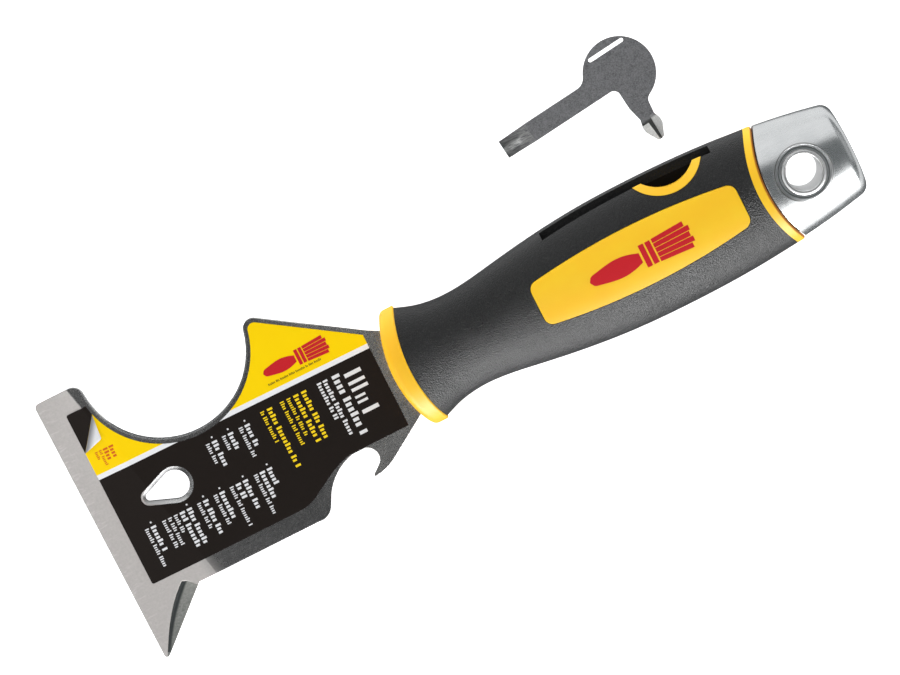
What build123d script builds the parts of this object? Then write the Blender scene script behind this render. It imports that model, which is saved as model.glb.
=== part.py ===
from build123d import *
import math
import os

# Painters multi tool, in mm.
# Origin: centre of the hang hole, on the mid plane of the blade.
# +X from the blade to the hammer cap, +Y towards the roller notch and the bit slot, +Z out of the labelled face.

# Reach of the cutting shapes, past every side of the handle
REACH_Y = 25.0
REACH_Z = 20.0
FAR_R = 10000.0

# Blade
BLADE_T = 2.8
FRONT_Z = BLADE_T / 2
EDGE_X = -211.0
EDGE_SKEW = 0.6
EDGE_T = 0.7
HORN_Y = 35.85
HORN_CORNER_R = 1.3
HORN_SHOULDER_R = 3.2
NOTCH_CENTRE = (-174.4, 33.85)
NOTCH_R = 23.2
PEAK_R = 2.7
BELLY_Y = -26.05
POINT_TIP = (-209.1, -40.35)
BEVEL_REF = (-199.8, 29.65)
BEVEL_SKEW = 0.215
TANG_HALF = 8.5
TANG_END_X = 12.0
HOOK_LIP_Y = -13.95

# Wheel-ground hollow along the lower edge of the point
SCOOP_FLOOR_Z = -0.62
SCOOP_TILT = 5.0
SCOOP_TILT_CENTRE = (-201.5, -32.0)
SCOOP_REACH = 2.4
POINT_ROOT = (-192.8, BELLY_Y)

# Nail puller: a teardrop hole with a front chamfer
TEAR_BIG = (-186.7, 0.2)
TEAR_SMALL = (-194.4, 0.2)
TEAR_BIG_R = 3.9
TEAR_SMALL_R = 1.1
TEAR_CHAMFER = 1.0

# Label film
LABEL_T = 0.12
LABEL_X = (-204.4, -123.8)
LABEL_Y = (-21.15, 29.65)
LABEL_MARGIN = 1.05
LABEL_NOTCH_CENTRE = (-174.4, 33.55)
LABEL_NOTCH_R = 24.35
LABEL_NECK_Y = -13.7

# Handle: half width and half thickness along X
HANDLE_STATIONS = (
    (-122, 17.0, 12.4),
    (-110, 14.8, 11.0),
    (-98, 13.25, 10.2),
    (-86, 14.75, 11.2),
    (-72, 16.8, 12.7),
    (-58, 18.1, 13.5),
    (-44, 18.5, 13.8),
    (-30, 18.3, 13.7),
    (-16, 17.45, 13.1),
    (-4, 16.6, 12.5),
)
GRIP_T = 2.4
COLLAR_HALF = (16.8, 12.8)
COLLAR_X = (-121.2, -116.3)
COLLAR_R = (38.0, 45.0)
REAR_RING_X = (-13.5, -10.8)
RING_R = 35.0

# Steel hammer cap
CAP_STATIONS = (
    (-14, 17.0, 12.8),
    (0, 15.4, 12.1),
    (16, 12.25, 10.7),
)
CAP_Y = 0.2
CAP_X = (-10.5, 14.4)
CAP_DOME_R = 150.0
CAP_CORNER_R = 3.2
CAP_WALL = 1.8

# Hang hole eyelet and the dish that it sits in
EYELET_BORE_R = 4.75
EYELET_TUBE_R = 5.35
EYELET_FLANGE_R = 6.15
EYELET_PEEN_R = 5.95
EYELET_PEEN_H = 0.6
DISH_FLOOR_Z = 10.5
DISH_FLOOR_R = 7.2
DISH_FLARE = 0.5
DIMPLE_R = 9.2
DIMPLE_T = 1.5
FLANGE_H = 0.95
WASHER_T = 0.7
WASHER_R = 6.6

# Driver bit, in its own frame: origin at the disc centre, arm towards -X, Phillips leg towards -Y
BIT_T = 2.9
BIT_Z = 4.8
BIT_TILT = 6.6
BIT_OUT = (-31.6, 45.1)
BIT_TRAVEL = 37.0
DISC_R = 9.72
ARM_Y = (-2.95, 2.5)
ARM_TIP_X = -36.7
ARM_GROUND = 8.4
ARM_TIP_T = 1.0
LEG_X = -0.15
LEG_SIDES = (-3.0, 2.3)
LEG_TIP_Y = -20.55
FLUTE_SHOULDER_Y = -13.9
FLUTE_SHOULDER_SKEW = 0.8
SLIT_PLACE = (0.25, 7.0)
SLIT_SIZE = (10.9, 1.2)

# Bit pocket and thumb scallop
POCKET_GAP = 0.35
POCKET_Z = (3.1, 6.5)
SLOT_X = (-69.8, -19.5)
SCALLOP = (-32.1, 22.5)
SCALLOP_R = 9.75
RIM_R = 11.85

# Badges
BADGE_X = (-78.5, -18.1)
BADGE_HALF_MID = 8.3
BADGE_HALF_END = 5.9
BADGE_CORNER_R = 2.5
BADGE_GAP = 0.15
BADGE_PROUD = 0.1

# Rivets: x, y and half length over the heads
RIVETS = ((-105, 0, 7.2), (-80, 0, 8.9), (-52, -7, 8.1))
RIVET_R = 2.0
RIVET_HEAD = (3.6, 1.1)


def prism(face, z_low, z_high):
    """Extrude a flat XY face between two heights."""
    return extrude(Pos(0, 0, z_low) * face, z_high - z_low)


def oval_body(stations, shrink=0.0, y=0.0):
    """Smooth oval body through elliptical sections along X."""
    sections = []
    for x, half_width, half_thickness in stations:
        plane = Plane(origin=(x, y, 0), x_dir=(0, 1, 0), z_dir=(1, 0, 0))
        sections.append(plane * Ellipse(half_width - shrink, half_thickness - shrink))
    return loft(sections)


def bow(x, radius):
    """Arc across the handle that bulges towards -X for a positive radius."""
    sag = abs(radius) - math.sqrt(radius * radius - REACH_Y * REACH_Y)
    end_x = x + math.copysign(sag, radius)
    return ThreePointArc((end_x, -REACH_Y), (x, 0), (end_x, REACH_Y))


def span(x_left, radius_left, x_right, radius_right):
    """Slice of space between two bowed ends, seen from the front."""
    left = bow(x_left, radius_left)
    right = bow(x_right, radius_right)
    top = Line(left @ 1, right @ 1)
    bottom = Line(left @ 0, right @ 0)
    return prism(make_face([left, top, right, bottom]), -REACH_Z, REACH_Z)


def round_corner(face, corner, radius):
    """Round the corner of a flat face that is nearest to a point."""
    point = Vector(corner[0], corner[1], 0)
    vertex = min(face.vertices(), key=lambda v: (Vector(v.X, v.Y, v.Z) - point).length)
    return fillet(vertex, radius)


def teardrop(grow):
    """Hull of two circles, grown outwards all round."""
    big = TEAR_BIG_R + grow
    small = TEAR_SMALL_R + grow
    distance = TEAR_BIG[0] - TEAR_SMALL[0]
    angle = math.acos((TEAR_BIG_R - TEAR_SMALL_R) / distance)
    across = math.sin(angle)
    along = math.cos(angle)
    top_big = (TEAR_BIG[0] - big * along, TEAR_BIG[1] + big * across)
    low_big = (TEAR_BIG[0] - big * along, TEAR_BIG[1] - big * across)
    top_small = (TEAR_SMALL[0] - small * along, TEAR_SMALL[1] + small * across)
    low_small = (TEAR_SMALL[0] - small * along, TEAR_SMALL[1] - small * across)
    edges = [
        Line(top_small, top_big),
        ThreePointArc(top_big, (TEAR_BIG[0] + big, TEAR_BIG[1]), low_big),
        Line(low_big, low_small),
        ThreePointArc(low_small, (TEAR_SMALL[0] - small, TEAR_SMALL[1]), top_small),
    ]
    return make_face(edges)


def blade_outline():
    """Blade, bottle opener hook and full-length tang as one flat outline."""
    edges = [
        Polyline(
            (EDGE_X, HORN_Y), (-155.9, HORN_Y), (-122.6, 13.87), (-118.5, 11.6),
            (-112, TANG_HALF), (TANG_END_X, TANG_HALF), (TANG_END_X, -TANG_HALF), (-112, -TANG_HALF),
            (-118.5, -11.9), (-130.6, -19.45),
        ),
        ThreePointArc((-130.6, -19.45), (-133.9, -21.15), (-137.4, -21.9)),
        ThreePointArc((-137.4, -21.9), (-137.95, -21.7), (-137.7, -21.25)),
        Line((-137.7, -21.25), (-135.8, -19.75)),
        ThreePointArc((-135.8, -19.75), (-134.5, -17.0), (-136.9, HOOK_LIP_Y)),
        Line((-136.9, HOOK_LIP_Y), (-140.8, HOOK_LIP_Y)),
        ThreePointArc((-140.8, HOOK_LIP_Y), (-147.0, -16.9), (-150.6, -20.9)),
        Line((-150.6, -20.9), (-152.2, -23.85)),
        ThreePointArc((-152.2, -23.85), (-153.7, -25.5), (-156.6, BELLY_Y)),
        Polyline((-156.6, BELLY_Y), POINT_ROOT, POINT_TIP),
        ThreePointArc(POINT_TIP, (-209.8, -40.5), (EDGE_X + EDGE_SKEW, -39.9)),
        Line((EDGE_X + EDGE_SKEW, -39.9), (EDGE_X, HORN_Y)),
    ]
    face = make_face(edges) - Pos(*NOTCH_CENTRE) * Circle(NOTCH_R)
    face = round_corner(face, (EDGE_X, HORN_Y), HORN_CORNER_R)
    face = round_corner(face, (NOTCH_CENTRE[0] - NOTCH_R, HORN_Y), HORN_SHOULDER_R)
    face = round_corner(face, (NOTCH_CENTRE[0] + NOTCH_R, 32.7), PEAK_R)
    face = round_corner(face, (-122.6, 13.87), 2.5)
    face = round_corner(face, (-112, TANG_HALF), 6)
    face = round_corner(face, (-112, -TANG_HALF), 6)
    face = round_corner(face, (TANG_END_X, TANG_HALF), 2)
    face = round_corner(face, (TANG_END_X, -TANG_HALF), 2)
    return face


def bevel_cutter():
    """Ruled wedge above the ground bevel: steep at the horn, shallow at the point."""
    sections = []
    past = 4.0
    above = 1.0
    for y in (45.0, -45.0):
        line_x = BEVEL_REF[0] + BEVEL_SKEW * (BEVEL_REF[1] - y)
        rise = (BLADE_T - EDGE_T) / (line_x - EDGE_X)
        low = (EDGE_X - past, FRONT_Z - rise * (line_x - EDGE_X + past))
        high = (line_x + above / rise, FRONT_Z + above)
        corner = (EDGE_X - past, FRONT_Z + above)
        plane = Plane(origin=(0, y, 0), x_dir=(1, 0, 0), z_dir=(0, -1, 0))
        sections.append(plane * make_face(Polyline(low, high, corner, close=True)))
    return loft(sections, ruled=True)


def scoop_outline(mid_arc, top, shoulder):
    """Hollow of the point, from the tip along the curved wall to the top, and back outside the edge."""
    tip = (-209.75, -40.3)
    edges = [
        ThreePointArc(tip, mid_arc, top),
        Polyline(top, shoulder, (-193.0, -26.9), (-196.0, -46.0), tip),
    ]
    return make_face(edges)


def scoop_cutter():
    """Wheel-ground hollow along the lower edge of the point, with a sloping wall on its left."""
    floor = scoop_outline((-202.45, -29.95), (-196.75, -24.2), (-195.75, -24.5))
    rim = Pos(0, 0, SCOOP_REACH) * scoop_outline((-203.65, -29.2), (-197.0, -23.65), (-195.6, -24.1))
    region = loft([floor, rim], ruled=True)
    along_edge = (POINT_ROOT[0] - POINT_TIP[0], POINT_ROOT[1] - POINT_TIP[1], 0)
    tilted = region.rotate(Axis((*SCOOP_TILT_CENTRE, 0), along_edge), -SCOOP_TILT)
    return Pos(0, 0, SCOOP_FLOOR_Z) * tilted


def blade_solid():
    """One-piece blade and tang, with no holes."""
    body = prism(blade_outline(), -FRONT_Z, FRONT_Z)
    body -= bevel_cutter()
    return body


def eyelet_hole(radius):
    return Cylinder(radius, 2 * REACH_Z)


def blade():
    body = blade_solid() - scoop_cutter()
    body -= prism(teardrop(0), -REACH_Z, REACH_Z)
    over = 0.1
    top = Pos(0, 0, FRONT_Z + over) * teardrop(TEAR_CHAMFER + over)
    bottom = Pos(0, 0, FRONT_Z - TEAR_CHAMFER) * teardrop(0)
    body -= loft([top, bottom], ruled=True)
    body -= eyelet_hole(EYELET_TUBE_R)
    for x, y, _ in RIVETS:
        body -= Pos(x, y, 0) * Cylinder(RIVET_R, 2 * BLADE_T)
    return body


def label_outline():
    """Film outline: it follows the notch and the horn, with a bare steel margin."""
    slope_margin = 1.2 * LABEL_MARGIN
    slope_top = (-155.9, HORN_Y - slope_margin)
    slope_end = (LABEL_X[1], 14.66 - slope_margin)
    edges = [
        Polyline(
            (LABEL_X[0], LABEL_Y[1]), (-176, LABEL_Y[1]), (-176, slope_top[1]), slope_top, slope_end,
            (LABEL_X[1], LABEL_NECK_Y), (-141.4, LABEL_NECK_Y),
        ),
        ThreePointArc((-141.4, LABEL_NECK_Y), (-145.8, -15.0), (-150.0, -17.15)),
        Line((-150.0, -17.15), (-153.4, -19.0)),
        ThreePointArc((-153.4, -19.0), (-156.6, -20.6), (-160.2, LABEL_Y[0])),
        Polyline((-160.2, LABEL_Y[0]), (LABEL_X[0], LABEL_Y[0]), (LABEL_X[0], LABEL_Y[1])),
    ]
    face = make_face(edges) - Pos(*LABEL_NOTCH_CENTRE) * Circle(LABEL_NOTCH_R)
    face = round_corner(face, (LABEL_NOTCH_CENTRE[0] + LABEL_NOTCH_R, 31), 1.8)
    face = round_corner(face, (LABEL_X[0], LABEL_Y[0]), 0.6)
    face = round_corner(face, (LABEL_X[0], LABEL_Y[1]), 0.6)
    return face - teardrop(TEAR_CHAMFER + 0.15)


def blade_label():
    """Film that lies on the flat and over the ground bevel."""
    region = prism(label_outline(), -FRONT_Z, FRONT_Z + 1)
    raised = Pos(0, 0, LABEL_T) * blade_solid()
    return (raised & region) - blade_solid()


def handle_zone(shrink=0.0):
    """Grip length of the handle, between the collar and the rear ring."""
    zone = span(COLLAR_X[1], COLLAR_R[1], REAR_RING_X[0], RING_R)
    return oval_body(HANDLE_STATIONS, shrink) & zone


def front_collar():
    """Yellow ring that closes the handle round the blade root."""
    plane = Plane(origin=(-130, 0, 0), x_dir=(0, 1, 0), z_dir=(1, 0, 0))
    body = extrude(plane * Ellipse(*COLLAR_HALF), 30)
    body &= span(COLLAR_X[0], COLLAR_R[0], COLLAR_X[1], COLLAR_R[1])
    rims = body.edges().sort_by(Axis.X)
    body = fillet(rims[0], 2.0)
    rims = body.edges().sort_by(Axis.X)
    body = fillet(rims[-1], 0.5)
    return body - prism(blade_outline(), -FRONT_Z, FRONT_Z)


def pocket():
    """Space that the bit slides through, open at the +Y side of the handle."""
    home_x = BIT_OUT[0]
    home_y = BIT_OUT[1] - BIT_TRAVEL
    mouth_y = 30.0
    tilt = math.radians(BIT_TILT)
    floor_y = home_y + (ARM_Y[0] - POCKET_GAP) / math.cos(tilt)
    floor_left = floor_y + (SLOT_X[0] - home_x) * math.tan(tilt)
    arm = make_face(Polyline(
        (SLOT_X[0], floor_left), (home_x, floor_y), (home_x, mouth_y), (SLOT_X[0], mouth_y),
        close=True,
    ))
    mouth = make_face(Polyline(
        (home_x - 5, home_y), (SLOT_X[1], home_y), (SLOT_X[1], mouth_y), (home_x - 5, mouth_y),
        close=True,
    ))
    leg = Pos(home_x, home_y) * make_face(Polyline(
        (-4.0, 5), (-4.0, -4.4), (-3.0, -6.0), (-3.0, -9.0), (-1.7, -12.0), (-1.45, -17.3), (1.0, -21.3),
        (3.6, -21.3), (4.95, -17.0), (5.2, -9.0), (5.2, 5),
        close=True,
    ))
    disc_r = DISC_R + POCKET_GAP
    disc = Circle(disc_r) & Pos(LEG_SIDES[0] + disc_r, 0) * Rectangle(2 * disc_r, 2 * disc_r)
    disc = Pos(home_x, home_y) * Rot(0, 0, BIT_TILT) * disc
    return prism(arm + mouth + disc + leg, *POCKET_Z)


def scallop(radius):
    """Round thumb recess in the wall in front of the slot."""
    return prism(Pos(*SCALLOP) * Circle(radius), POCKET_Z[1], REACH_Z)


def rivet(x, y, half_length):
    head_r, head_t = RIVET_HEAD
    body = Cylinder(RIVET_R, 2 * half_length)
    for side in (1, -1):
        body += Pos(0, 0, side * (half_length - head_t / 2)) * Cylinder(head_r, head_t)
    return Pos(x, y, 0) * body


def tang_rivets():
    return [rivet(*spot) for spot in RIVETS]


def half_space(side):
    """Everything on the front (side 1) or the back (side -1) of the mid plane."""
    return Pos(0, 0, side * REACH_Z / 2) * Box(300, 2 * REACH_Y, REACH_Z)


def core_half(side):
    """Half of the hard core, on the front (side 1) or the back (side -1) of the tang."""
    body = handle_zone(GRIP_T) & half_space(side)
    body -= prism(blade_outline(), -FRONT_Z, FRONT_Z)
    for spot in RIVETS:
        body -= rivet(*spot)
        x, y, half_length = spot
        body -= Pos(x, y, side * (half_length + REACH_Z / 2)) * Cylinder(RIVET_HEAD[0], REACH_Z)
    return body


def core_front():
    return core_half(1) - pocket() - scallop(RIM_R)


def core_back():
    return core_half(-1)


def badge_outline(grow=0.0):
    """Panel with bowed long sides."""
    left = BADGE_X[0] - grow
    right = BADGE_X[1] + grow
    middle = (left + right) / 2
    half_end = BADGE_HALF_END + grow
    half_mid = BADGE_HALF_MID + grow
    edges = [
        ThreePointArc((left, half_end), (middle, half_mid), (right, half_end)),
        Line((right, half_end), (right, -half_end)),
        ThreePointArc((right, -half_end), (middle, -half_mid), (left, -half_end)),
        Line((left, -half_end), (left, half_end)),
    ]
    face = make_face(edges)
    return fillet(face.vertices(), BADGE_CORNER_R + grow)


def badge(side):
    """Inlay panel in the grip, on the front (side 1) or the back (side -1)."""
    panel = oval_body(HANDLE_STATIONS, -BADGE_PROUD) & half_space(side)
    panel &= prism(badge_outline(), -REACH_Z, REACH_Z)
    return panel - oval_body(HANDLE_STATIONS, GRIP_T)


def soft_grip():
    """Soft skin moulded over the core, with windows for the badges, the slot and the scallop."""
    body = handle_zone() - oval_body(HANDLE_STATIONS, GRIP_T)
    body -= prism(badge_outline(BADGE_GAP), -REACH_Z, REACH_Z)
    body -= pocket()
    return body - scallop(RIM_R)


def scallop_rim():
    """Yellow arc round the thumb scallop."""
    ring = scallop(RIM_R) - scallop(SCALLOP_R)
    return oval_body(HANDLE_STATIONS, -BADGE_PROUD) & ring


def rear_ring():
    """Yellow ring between the grip and the cap, with a slot for the tang."""
    body = oval_body(HANDLE_STATIONS) & span(REAR_RING_X[0], RING_R, REAR_RING_X[1], RING_R)
    rim = body.edges().sort_by(Axis.X)[-1]
    body = fillet(rim, 0.7)
    return body - prism(blade_outline(), -FRONT_Z, FRONT_Z)


def cap_inside():
    """Hollow of the cap, flat where the tang end bears on it."""
    zone = span(CAP_X[0] - 0.3, RING_R, TANG_END_X, FAR_R)
    return oval_body(CAP_STATIONS, CAP_WALL, CAP_Y) & zone


def dimple(side):
    """Seat of the eyelet, pressed into the cap wall."""
    inner_z = DISH_FLOOR_Z - DIMPLE_T
    return Pos(0, 0, side * (inner_z + REACH_Z / 2)) * Cylinder(DIMPLE_R, REACH_Z)


def dish(side):
    """Flared recess with a flat floor round the hang hole."""
    depth = 4.0
    cone = Cone(DISH_FLOOR_R, DISH_FLOOR_R + DISH_FLARE * depth, depth)
    if side < 0:
        cone = Rot(180, 0, 0) * cone
    return Pos(0, 0, side * (DISH_FLOOR_Z + depth / 2)) * cone


def end_cap():
    """Drawn steel hammer cap."""
    outer = oval_body(CAP_STATIONS, y=CAP_Y) & span(CAP_X[0], RING_R, CAP_X[1], -CAP_DOME_R)
    rim = outer.edges().sort_by(Axis.X)[-1]
    outer = fillet(rim, CAP_CORNER_R)
    body = outer - cap_inside()
    for side in (1, -1):
        body += outer & dimple(side)
        body -= dish(side)
    return body - eyelet_hole(EYELET_TUBE_R)


def cap_spacer(side):
    """Moulded spacer that fills the cap on one side of the tang."""
    zone = span(REAR_RING_X[1], RING_R, TANG_END_X, FAR_R)
    body = oval_body(CAP_STATIONS, CAP_WALL, CAP_Y) & zone & half_space(side)
    body -= prism(blade_outline(), -FRONT_Z, FRONT_Z)
    body -= dimple(side)
    return body - eyelet_hole(EYELET_TUBE_R)


def hang_eyelet():
    """Rolled steel eyelet that lines the hang hole and pins the cap to the tang."""
    seat = DISH_FLOOR_Z
    top = seat + FLANGE_H
    low = -(seat + WASHER_T)
    end = low - EYELET_PEEN_H
    roll = (EYELET_FLANGE_R + EYELET_BORE_R) / 2
    plane = Plane.XZ
    edges = [
        Line((EYELET_BORE_R, end + 0.4), (EYELET_BORE_R, top - 0.6)),
        ThreePointArc((EYELET_BORE_R, top - 0.6), (EYELET_BORE_R + 0.2, top - 0.15), (roll, top)),
        ThreePointArc((roll, top), (EYELET_FLANGE_R - 0.2, top - 0.2), (EYELET_FLANGE_R, seat)),
        Polyline((EYELET_FLANGE_R, seat), (EYELET_TUBE_R, seat), (EYELET_TUBE_R, low), (EYELET_PEEN_R, low)),
        ThreePointArc((EYELET_PEEN_R, low), (EYELET_PEEN_R - 0.2, end + 0.1), (EYELET_TUBE_R, end)),
        ThreePointArc((EYELET_TUBE_R, end), (EYELET_BORE_R + 0.2, end + 0.1), (EYELET_BORE_R, end + 0.4)),
    ]
    return revolve(plane * make_face(edges), Axis.Z)


def eyelet_washer():
    """Washer under the peened end of the eyelet, at the back."""
    ring = Cylinder(WASHER_R, WASHER_T) - Cylinder(EYELET_TUBE_R, WASHER_T)
    ring = Pos(0, 0, -(DISH_FLOOR_Z + WASHER_T / 2)) * ring
    outer_rims = ring.edges().filter_by(GeomType.CIRCLE).sort_by(SortBy.RADIUS)[-2:]
    return chamfer(outer_rims, 0.15)


def bit_outline():
    """Disc, flat driver arm and Phillips leg as one outline in the bit frame."""
    arm_low, arm_top = ARM_Y
    arm_fillet = 3.5
    leg_fillet = 2.2
    crotch_r = 1.8
    leg_left, leg_right = LEG_SIDES
    arm_x = -math.sqrt((DISC_R + arm_fillet) ** 2 - (arm_top + arm_fillet) ** 2)
    arm_scale = DISC_R / (DISC_R + arm_fillet)
    arm_meets = (arm_x * arm_scale, (arm_top + arm_fillet) * arm_scale)
    leg_y = -math.sqrt((DISC_R + leg_fillet) ** 2 - (leg_right + leg_fillet) ** 2)
    leg_scale = DISC_R / (DISC_R + leg_fillet)
    leg_meets = ((leg_right + leg_fillet) * leg_scale, leg_y * leg_scale)
    half_head = 2.65
    edges = [
        Polyline(
            (ARM_TIP_X, arm_top - 0.15), (ARM_TIP_X, arm_low + 0.15), (ARM_TIP_X + ARM_GROUND, arm_low),
            (leg_left - crotch_r, arm_low),
        ),
        RadiusArc((leg_left - crotch_r, arm_low), (leg_left, arm_low - crotch_r), crotch_r),
        Polyline(
            (leg_left, arm_low - crotch_r), (leg_left, -9.4), (LEG_X - 2.05, -13.6),
            (LEG_X - half_head, -15.6), (LEG_X - half_head, -17.0), (LEG_X - 0.9, LEG_TIP_Y),
            (LEG_X + 0.9, LEG_TIP_Y), (LEG_X + half_head, -17.0), (LEG_X + half_head, -15.6),
            (LEG_X + 2.05, -13.8), (leg_right, leg_y),
        ),
        RadiusArc((leg_right, leg_y), leg_meets, leg_fillet),
        ThreePointArc(leg_meets, (DISC_R, 0), (0, DISC_R)),
        RadiusArc((0, DISC_R), arm_meets, -DISC_R),
        RadiusArc(arm_meets, (arm_x, arm_top), arm_fillet),
        Polyline((arm_x, arm_top), (ARM_TIP_X + ARM_GROUND, arm_top), (ARM_TIP_X, arm_top - 0.15)),
    ]
    slit = Pos(*SLIT_PLACE) * SlotOverall(*SLIT_SIZE)
    return make_face(edges) - slit


def tip_grind(side):
    """Hollow-ground face of the flat driver tip, cut by a wheel."""
    drop = (BIT_T - ARM_TIP_T) / 2
    wheel_r = (ARM_GROUND**2 + drop**2) / (2 * drop)
    wheel = Rot(90, 0, 0) * Cylinder(wheel_r, 20)
    return Pos(ARM_TIP_X, 0, side * (ARM_TIP_T / 2 + wheel_r)) * wheel


def phillips_flute(side_x, side_z):
    """One of the four flutes that leave a cross at the end of the leg."""
    sections = []
    shoulder_y = FLUTE_SHOULDER_Y + side_x * FLUTE_SHOULDER_SKEW
    for y, x_in, z_in in ((LEG_TIP_Y - 0.5, 0.3, 0.3), (shoulder_y, 0.65, BIT_T / 2 + 0.1)):
        plane = Plane(origin=(LEG_X, y, 0), x_dir=(1, 0, 0), z_dir=(0, -1, 0))
        middle_x = side_x * (x_in + 3)
        middle_z = side_z * (z_in + 3)
        sections.append(plane * Pos(middle_x, middle_z) * Rectangle(6, 6))
    return loft(sections, ruled=True)


def driver_bit():
    """Loose two-way driver."""
    body = prism(bit_outline(), -BIT_T / 2, BIT_T / 2)
    for side in (1, -1):
        body -= tip_grind(side)
        for side_z in (1, -1):
            body -= phillips_flute(side, side_z)
    return Pos(BIT_OUT[0], BIT_OUT[1], BIT_Z) * Rot(0, 0, BIT_TILT) * body


NODES = {
    "blade": blade,
    "blade_label": blade_label,
    "front_collar": front_collar,
    "core_front": core_front,
    "core_back": core_back,
    "tang_rivets": tang_rivets,
    "soft_grip": soft_grip,
    "front_badge": lambda: badge(1),
    "back_badge": lambda: badge(-1),
    "scallop_rim": scallop_rim,
    "rear_ring": rear_ring,
    "end_cap": end_cap,
    "cap_spacer_front": lambda: cap_spacer(1),
    "cap_spacer_back": lambda: cap_spacer(-1),
    "hang_eyelet": hang_eyelet,
    "eyelet_washer": eyelet_washer,
    "driver_bit": driver_bit,
}


def main():
    os.makedirs("parts", exist_ok=True)
    for name, make in NODES.items():
        shape = make()
        if isinstance(shape, list):
            shape = Compound(children=shape)
        export_step(shape, f"parts/{name}.step")


main()
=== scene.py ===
import math

import bmesh
import bpy
from mathutils import Matrix, Vector
from mathutils.bvhtree import BVHTree


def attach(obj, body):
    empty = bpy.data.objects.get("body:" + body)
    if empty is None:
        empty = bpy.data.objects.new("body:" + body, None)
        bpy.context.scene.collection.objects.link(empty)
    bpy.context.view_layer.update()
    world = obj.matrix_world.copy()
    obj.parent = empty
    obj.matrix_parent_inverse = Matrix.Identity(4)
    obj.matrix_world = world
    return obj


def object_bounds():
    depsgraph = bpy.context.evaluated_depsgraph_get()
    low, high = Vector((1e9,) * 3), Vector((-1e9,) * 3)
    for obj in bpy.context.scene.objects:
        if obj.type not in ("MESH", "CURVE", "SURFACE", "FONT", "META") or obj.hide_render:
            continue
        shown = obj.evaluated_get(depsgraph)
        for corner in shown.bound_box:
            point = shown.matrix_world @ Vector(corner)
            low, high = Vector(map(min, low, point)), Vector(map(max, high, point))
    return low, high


# Painters multi tool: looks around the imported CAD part.
# Tool frame: +X from the blade to the hammer cap, +Y towards the roller notch, +Z out of the
# labelled face. Places on the tool are in millimetres. Studio lengths are in metres.

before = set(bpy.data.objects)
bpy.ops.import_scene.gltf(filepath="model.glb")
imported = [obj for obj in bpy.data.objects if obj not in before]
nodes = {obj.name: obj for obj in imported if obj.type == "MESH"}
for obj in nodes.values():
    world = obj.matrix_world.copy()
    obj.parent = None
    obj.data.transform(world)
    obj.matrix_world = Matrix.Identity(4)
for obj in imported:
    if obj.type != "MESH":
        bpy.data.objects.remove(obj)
cad_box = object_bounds()
MM = 0.001

# ---------------------------------------------------------------- camera, lights, floor

BOX_MIDDLE = (Vector(cad_box[0]) + Vector(cad_box[1])) / 2
TOOL_MIDDLE = Vector((BOX_MIDDLE.x, BOX_MIDDLE.y, 0))
FLOOR_Z = cad_box[0][2]

IMAGE_RIGHT = Vector((0.893, -0.451, 0)).normalized()
IMAGE_UP = Vector((0.451, 0.893, 0)).normalized()
FOCUS_SHIFT = Vector((-5.15, -4.96, 0)) * MM
CAMERA_DISTANCE = 1.4
CAMERA_TILT = math.radians(5)
CAMERA_CLIP = (0.05, 20)
FRAMED_WIDTH = 239.9 * MM
SENSOR_MM = 36.0

# Name, direction from the tool, distance, size, radiance, shows in gloss, lights matte faces.
SOFTBOXES = (
    ("key_low_side", (-0.10, -0.90, 0.42), 1.1, (1.8, 1.10), 1.3, True, True),
    ("shine_low_side", (-0.10, -0.94, 0.29), 1.15, (1.6, 0.66), 11.0, True, False),
    ("fill_high_side", (0.1, 0.87, 0.47), 1.2, (1.9, 1.38), 0.72, True, True),
    ("edge_light", (-0.49, -0.10, 0.87), 1.7, (0.45, 0.9), 2.9, True, True),
    ("blade_end_light", (-0.93, -0.1, 0.36), 1.1, (0.8, 0.6), 0.9, True, True),
    ("cap_light", (0.93, 0.1, 0.36), 1.2, (1.3, 0.7), 0.28, True, True),
    ("cap_haze", (0.52, 0.05, 0.85), 1.5, (0.7, 0.7), 0.06, True, True),
    ("overhead_matte", (0.1, 0.2, 1), 1.9, (2.4, 2.4), 0.80, False, True),
)
# Patches of pale floor that show in gloss only: name, two corners in mm, radiance.
FLOOR_CARDS = (
    ("card_high_side", (-330, 24), (130, 430), 0.72),
    ("card_low_side", (-330, -440), (130, -54), 0.8),
    ("card_cap_end", (30, -60), (230, 26), 0.60),
    ("card_under_hole", (-11, -11), (11, 11), 0.62),
)
CARD_HEIGHT = MM / 2

WORLD_COLOUR = (0.88, 0.97, 1, 1)
WORLD_STRENGTH = 0.115

FLOOR_FLAT_RADII = (0.02, 0.5, 1.2, 2.0)
FLOOR_RISE_RADIUS = 0.9
FLOOR_RISE_STEPS = 12
FLOOR_SIDES = 96
FLOOR_GLOW = 0.98


def link(thing):
    bpy.context.scene.collection.objects.link(thing)


def make_camera():
    back = IMAGE_UP * math.sin(CAMERA_TILT) + Vector((0, 0, math.cos(CAMERA_TILT)))
    up = back.cross(IMAGE_RIGHT)
    data = bpy.data.cameras.new("camera")
    data.sensor_width = SENSOR_MM
    data.lens = SENSOR_MM * CAMERA_DISTANCE / FRAMED_WIDTH
    data.clip_start, data.clip_end = CAMERA_CLIP
    camera = bpy.data.objects.new("camera", data)
    turn = Matrix((IMAGE_RIGHT, up, back)).transposed().to_4x4()
    place = TOOL_MIDDLE + FOCUS_SHIFT + back * CAMERA_DISTANCE
    camera.matrix_world = Matrix.Translation(place) @ turn
    link(camera)
    bpy.context.scene.camera = camera


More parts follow.
